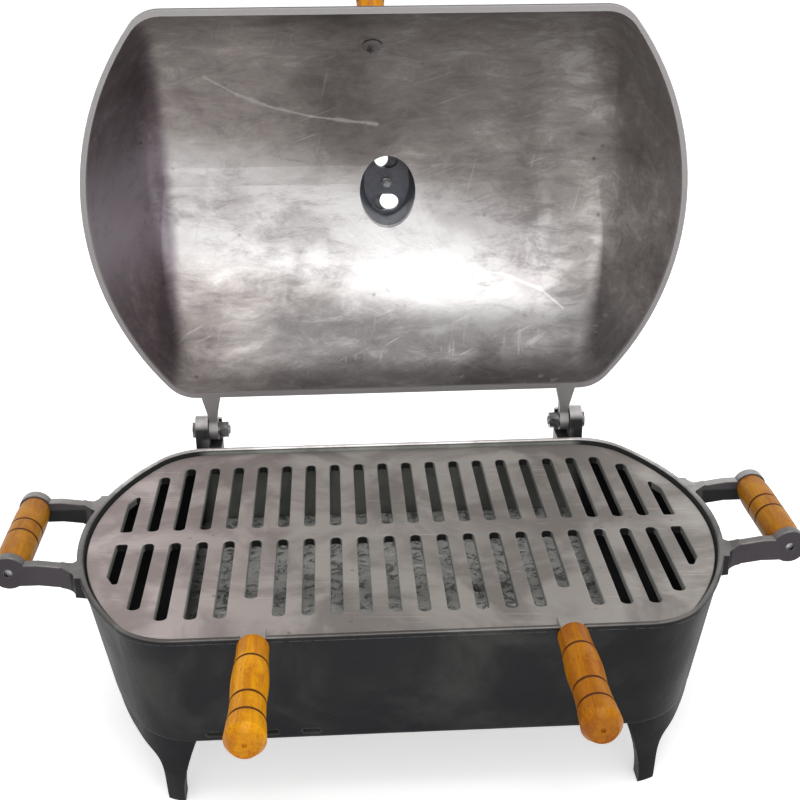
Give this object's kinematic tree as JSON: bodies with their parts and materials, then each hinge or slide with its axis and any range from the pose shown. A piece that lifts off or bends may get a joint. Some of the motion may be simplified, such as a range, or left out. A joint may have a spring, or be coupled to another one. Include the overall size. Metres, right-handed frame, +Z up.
{
  "type": "charcoal grill",
  "caption": "Low oblong charcoal grill of cast aluminium with a vaulted lid hinged along the back, a slotted cooking grate, turned wooden handles and short cast legs.",
  "frame": {"origin": "on the ground, under the middle of the whole grill with its lid open", "axes": "+Z up, +X to the right along the long sides, +Y from the front with the grate handles to the back with the hinges"},
  "size_m": [0.5946, 0.5744, 0.5461],
  "materials": {
    "cast_tub": "sand-cast, darkened",
    "cast_lid": "cast and brushed by hand",
    "ground_plate": "ground flat",
    "rough_plate": "raw casting",
    "damper_plate": "raw",
    "dark_collar": "blackened",
    "plated_steel": "zinc plated",
    "varnished_wood": "varnished, burnt rings"
  },
  "bodies": {
    "tub": {"fire_tub": "cast_tub", "side_grip_rod_left": "plated_steel", "side_grip_rod_right": "plated_steel", "hinge_bolt_left": "plated_steel", "hinge_bolt_right": "plated_steel", "hinge_nut_left": "plated_steel", "hinge_nut_right": "plated_steel"},
    "lid": {"lid_shell": "cast_lid", "vent_screw": "plated_steel", "vent_washer": "plated_steel", "vent_nut": "plated_steel", "lid_handle": "varnished_wood", "lid_handle_collar": "dark_collar", "lid_handle_stud": "plated_steel", "lid_handle_nut": "plated_steel"},
    "damper": {"vent_damper": "damper_plate"},
    "cooking_plate": {"cooking_grate": "ground_plate", "grate_handle_left": "varnished_wood", "grate_handle_right": "varnished_wood", "grate_handle_stud_left": "plated_steel", "grate_handle_stud_right": "plated_steel"},
    "coal_bed": {"coal_plate": "rough_plate"},
    "left_grip": {"side_grip_left": "varnished_wood"},
    "right_grip": {"side_grip_right": "varnished_wood"}
  },
  "joints": [
    {"name": "lid_hinge", "type": "hinge", "parent": "tub", "child": "lid", "pos_m": [0, 0.17967, 0.144], "axis": [-1, 0, 0], "range_deg": [-82, 0]},
    {"name": "damper_turn", "type": "hinge", "parent": "lid", "child": "damper", "pos_m": [0.004, 0.27871, 0.33959], "axis": [0, 0.9903, 0.1392], "continuous": true},
    {"name": "cooking_grate_lift", "type": "slide", "parent": "tub", "child": "cooking_plate", "axis": [0, 0, 1], "range_m": [0, 0.12]},
    {"name": "coal_plate_lift", "type": "slide", "parent": "tub", "child": "coal_bed", "axis": [0, 0, 1], "range_m": [0, 0.04]},
    {"name": "left_grip_spin", "type": "hinge", "parent": "tub", "child": "left_grip", "pos_m": [-0.2845, -0.01573, 0.141], "axis": [0, 1, 0], "continuous": true},
    {"name": "right_grip_spin", "type": "hinge", "parent": "tub", "child": "right_grip", "pos_m": [0.2845, -0.01573, 0.141], "axis": [0, 1, 0], "continuous": true}
  ]
}
